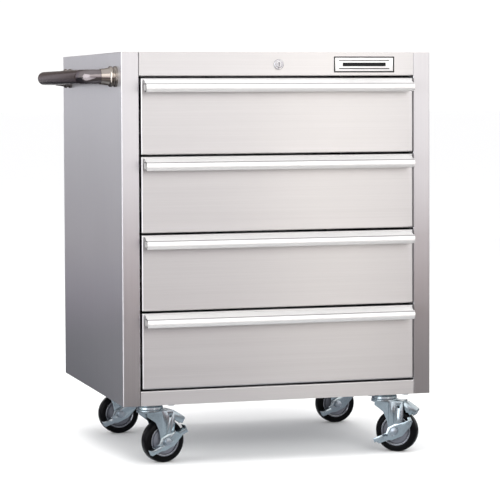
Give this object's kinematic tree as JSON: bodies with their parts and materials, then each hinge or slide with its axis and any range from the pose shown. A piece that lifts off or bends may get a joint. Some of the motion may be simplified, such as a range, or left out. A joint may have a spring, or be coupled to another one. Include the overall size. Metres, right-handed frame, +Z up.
{
  "type": "rolling tool cabinet",
  "caption": "Rolling stainless tool cabinet with full-extension drawers, full-width pulls, side push handle, central lock and swivel brake casters.",
  "frame": {"origin": "centre of the bounding box, handle and pulls included, at floor level under the wheels", "axes": "+Z up, -Y out of the drawer fronts, +X to the right when facing the fronts; the push handle is on the -X side"},
  "size_m": [0.7397, 0.6036, 0.8426],
  "materials": {
    "stainless_sheet": "brushed",
    "galvanised_sheet": "satin",
    "pull_aluminium": "anodised satin",
    "slide_steel": "zinc plated",
    "handle_steel": "polished",
    "chrome_trim": "polished",
    "zinc_plate": "bright zinc plated",
    "fastener_steel": "zinc plated",
    "badge": "printed satin",
    "tyre_rubber": "moulded rubber",
    "hub_plastic": "moulded"
  },
  "bodies": {
    "cabinet": {"left_side_panel": "stainless_sheet", "right_side_panel": "stainless_sheet", "back_panel": "stainless_sheet", "top_panel": "stainless_sheet", "base_pan": "stainless_sheet", "top_rail": "stainless_sheet", "bottom_rail": "stainless_sheet", "slide_uprights": "galvanised_sheet", "outer_slides": "slide_steel", "handle_tube": "handle_steel", "handle_mounts": "chrome_trim", "handle_bolts": "fastener_steel", "name_plate": "badge", "lock_housing": "chrome_trim", "lock_guides": "galvanised_sheet", "caster_plates": "zinc_plate", "caster_bolts": "fastener_steel"},
    "lock_cylinder": {"lock_plug": "chrome_trim", "lock_rod": "fastener_steel"},
    "lock_bar": {"lock_bar": "galvanised_sheet"},
    "drawer_1": {"drawer_1_box": "galvanised_sheet", "drawer_1_front": "stainless_sheet", "drawer_1_pull": "pull_aluminium", "drawer_1_inner_slides": "slide_steel"},
    "drawer_1_mid": {"drawer_1_mid_slides": "slide_steel"},
    "drawer_2": {"drawer_2_box": "galvanised_sheet", "drawer_2_front": "stainless_sheet", "drawer_2_pull": "pull_aluminium", "drawer_2_inner_slides": "slide_steel"},
    "drawer_2_mid": {"drawer_2_mid_slides": "slide_steel"},
    "drawer_3": {"drawer_3_box": "galvanised_sheet", "drawer_3_front": "stainless_sheet", "drawer_3_pull": "pull_aluminium", "drawer_3_inner_slides": "slide_steel"},
    "drawer_3_mid": {"drawer_3_mid_slides": "slide_steel"},
    "drawer_4": {"drawer_4_box": "galvanised_sheet", "drawer_4_front": "stainless_sheet", "drawer_4_pull": "pull_aluminium", "drawer_4_inner_slides": "slide_steel"},
    "drawer_4_mid": {"drawer_4_mid_slides": "slide_steel"},
    "caster_front_left": {"caster_front_left_fork": "zinc_plate", "caster_front_left_axle": "fastener_steel"},
    "caster_front_left_wheel": {"caster_front_left_tyre": "tyre_rubber", "caster_front_left_hub": "hub_plastic"},
    "caster_front_left_lever": {"caster_front_left_brake_lever": "zinc_plate"},
    "caster_front_right": {"caster_front_right_fork": "zinc_plate", "caster_front_right_axle": "fastener_steel"},
    "caster_front_right_wheel": {"caster_front_right_tyre": "tyre_rubber", "caster_front_right_hub": "hub_plastic"},
    "caster_front_right_lever": {"caster_front_right_brake_lever": "zinc_plate"},
    "caster_rear_left": {"caster_rear_left_fork": "zinc_plate", "caster_rear_left_axle": "fastener_steel"},
    "caster_rear_left_wheel": {"caster_rear_left_tyre": "tyre_rubber", "caster_rear_left_hub": "hub_plastic"},
    "caster_rear_left_lever": {"caster_rear_left_brake_lever": "zinc_plate"},
    "caster_rear_right": {"caster_rear_right_fork": "zinc_plate", "caster_rear_right_axle": "fastener_steel"},
    "caster_rear_right_wheel": {"caster_rear_right_tyre": "tyre_rubber", "caster_rear_right_hub": "hub_plastic"},
    "caster_rear_right_lever": {"caster_rear_right_brake_lever": "zinc_plate"}
  },
  "joints": [
    {"name": "lock_turn", "type": "hinge", "parent": "cabinet", "child": "lock_cylinder", "pos_m": [0.03965, -0.26975, 0.8176], "axis": [0, -1, 0], "range_deg": [0, 90]},
    {"name": "lock_bar_lift", "type": "slide", "parent": "cabinet", "child": "lock_bar", "axis": [0, 0, 1], "range_m": [0, 0.01414]},
    {"name": "drawer_1_slide", "type": "slide", "parent": "cabinet", "child": "drawer_1", "axis": [0, -1, 0], "range_m": [0, 0.508]},
    {"name": "drawer_1_mid_slide", "type": "slide", "parent": "cabinet", "child": "drawer_1_mid", "axis": [0, -1, 0], "range_m": [0, 0.254]},
    {"name": "drawer_2_slide", "type": "slide", "parent": "cabinet", "child": "drawer_2", "axis": [0, -1, 0], "range_m": [0, 0.508]},
    {"name": "drawer_2_mid_slide", "type": "slide", "parent": "cabinet", "child": "drawer_2_mid", "axis": [0, -1, 0], "range_m": [0, 0.254]},
    {"name": "drawer_3_slide", "type": "slide", "parent": "cabinet", "child": "drawer_3", "axis": [0, -1, 0], "range_m": [0, 0.508]},
    {"name": "drawer_3_mid_slide", "type": "slide", "parent": "cabinet", "child": "drawer_3_mid", "axis": [0, -1, 0], "range_m": [0, 0.254]},
    {"name": "drawer_4_slide", "type": "slide", "parent": "cabinet", "child": "drawer_4", "axis": [0, -1, 0], "range_m": [0, 0.508]},
    {"name": "drawer_4_mid_slide", "type": "slide", "parent": "cabinet", "child": "drawer_4_mid", "axis": [0, -1, 0], "range_m": [0, 0.254]},
    {"name": "front_left_swivel", "type": "hinge", "parent": "cabinet", "child": "caster_front_left", "pos_m": [-0.21635, -0.19475, 0.129], "axis": [0, 0, 1], "continuous": true},
    {"name": "front_left_wheel_spin", "type": "hinge", "parent": "caster_front_left", "child": "caster_front_left_wheel", "pos_m": [-0.18896, -0.18893, 0.0445], "axis": [-0.2079, 0.9781, 0], "continuous": true},
    {"name": "front_left_brake", "type": "hinge", "parent": "caster_front_left", "child": "caster_front_left_lever", "pos_m": [-0.18896, -0.18893, 0.0445], "axis": [-0.2079, 0.9781, 0], "range_deg": [0, 25]},
    {"name": "front_right_swivel", "type": "hinge", "parent": "cabinet", "child": "caster_front_right", "pos_m": [0.29565, -0.19475, 0.129], "axis": [0, 0, 1], "continuous": true},
    {"name": "front_right_wheel_spin", "type": "hinge", "parent": "caster_front_right", "child": "caster_front_right_wheel", "pos_m": [0.3183, -0.21121, 0.0445], "axis": [0.5878, 0.809, 0], "continuous": true},
    {"name": "front_right_brake", "type": "hinge", "parent": "caster_front_right", "child": "caster_front_right_lever", "pos_m": [0.3183, -0.21121, 0.0445], "axis": [0.5878, 0.809, 0], "range_deg": [0, 25]},
    {"name": "rear_left_swivel", "type": "hinge", "parent": "cabinet", "child": "caster_rear_left", "pos_m": [-0.21635, 0.21525, 0.129], "axis": [0, 0, 1], "continuous": true},
    {"name": "rear_left_wheel_spin", "type": "hinge", "parent": "caster_rear_left", "child": "caster_rear_left_wheel", "pos_m": [-0.18835, 0.21525, 0.0445], "axis": [0, 1, 0], "continuous": true},
    {"name": "rear_left_brake", "type": "hinge", "parent": "caster_rear_left", "child": "caster_rear_left_lever", "pos_m": [-0.18835, 0.21525, 0.0445], "axis": [0, 1, 0], "range_deg": [0, 25]},
    {"name": "rear_right_swivel", "type": "hinge", "parent": "cabinet", "child": "caster_rear_right", "pos_m": [0.29565, 0.21525, 0.129], "axis": [0, 0, 1], "continuous": true},
    {"name": "rear_right_wheel_spin", "type": "hinge", "parent": "caster_rear_right", "child": "caster_rear_right_wheel", "pos_m": [0.32365, 0.21525, 0.0445], "axis": [0, 1, 0], "continuous": true},
    {"name": "rear_right_brake", "type": "hinge", "parent": "caster_rear_right", "child": "caster_rear_right_lever", "pos_m": [0.32365, 0.21525, 0.0445], "axis": [0, 1, 0], "range_deg": [0, 25]}
  ],
  "couplings": [
    {"joint": "lock_turn", "follows": "lock_bar_lift", "rad_per_m": 111.07},
    {"joint": "drawer_1_mid_slide", "follows": "drawer_1_slide", "ratio": 0.5},
    {"joint": "drawer_2_mid_slide", "follows": "drawer_2_slide", "ratio": 0.5},
    {"joint": "drawer_3_mid_slide", "follows": "drawer_3_slide", "ratio": 0.5},
    {"joint": "drawer_4_mid_slide", "follows": "drawer_4_slide", "ratio": 0.5}
  ]
}
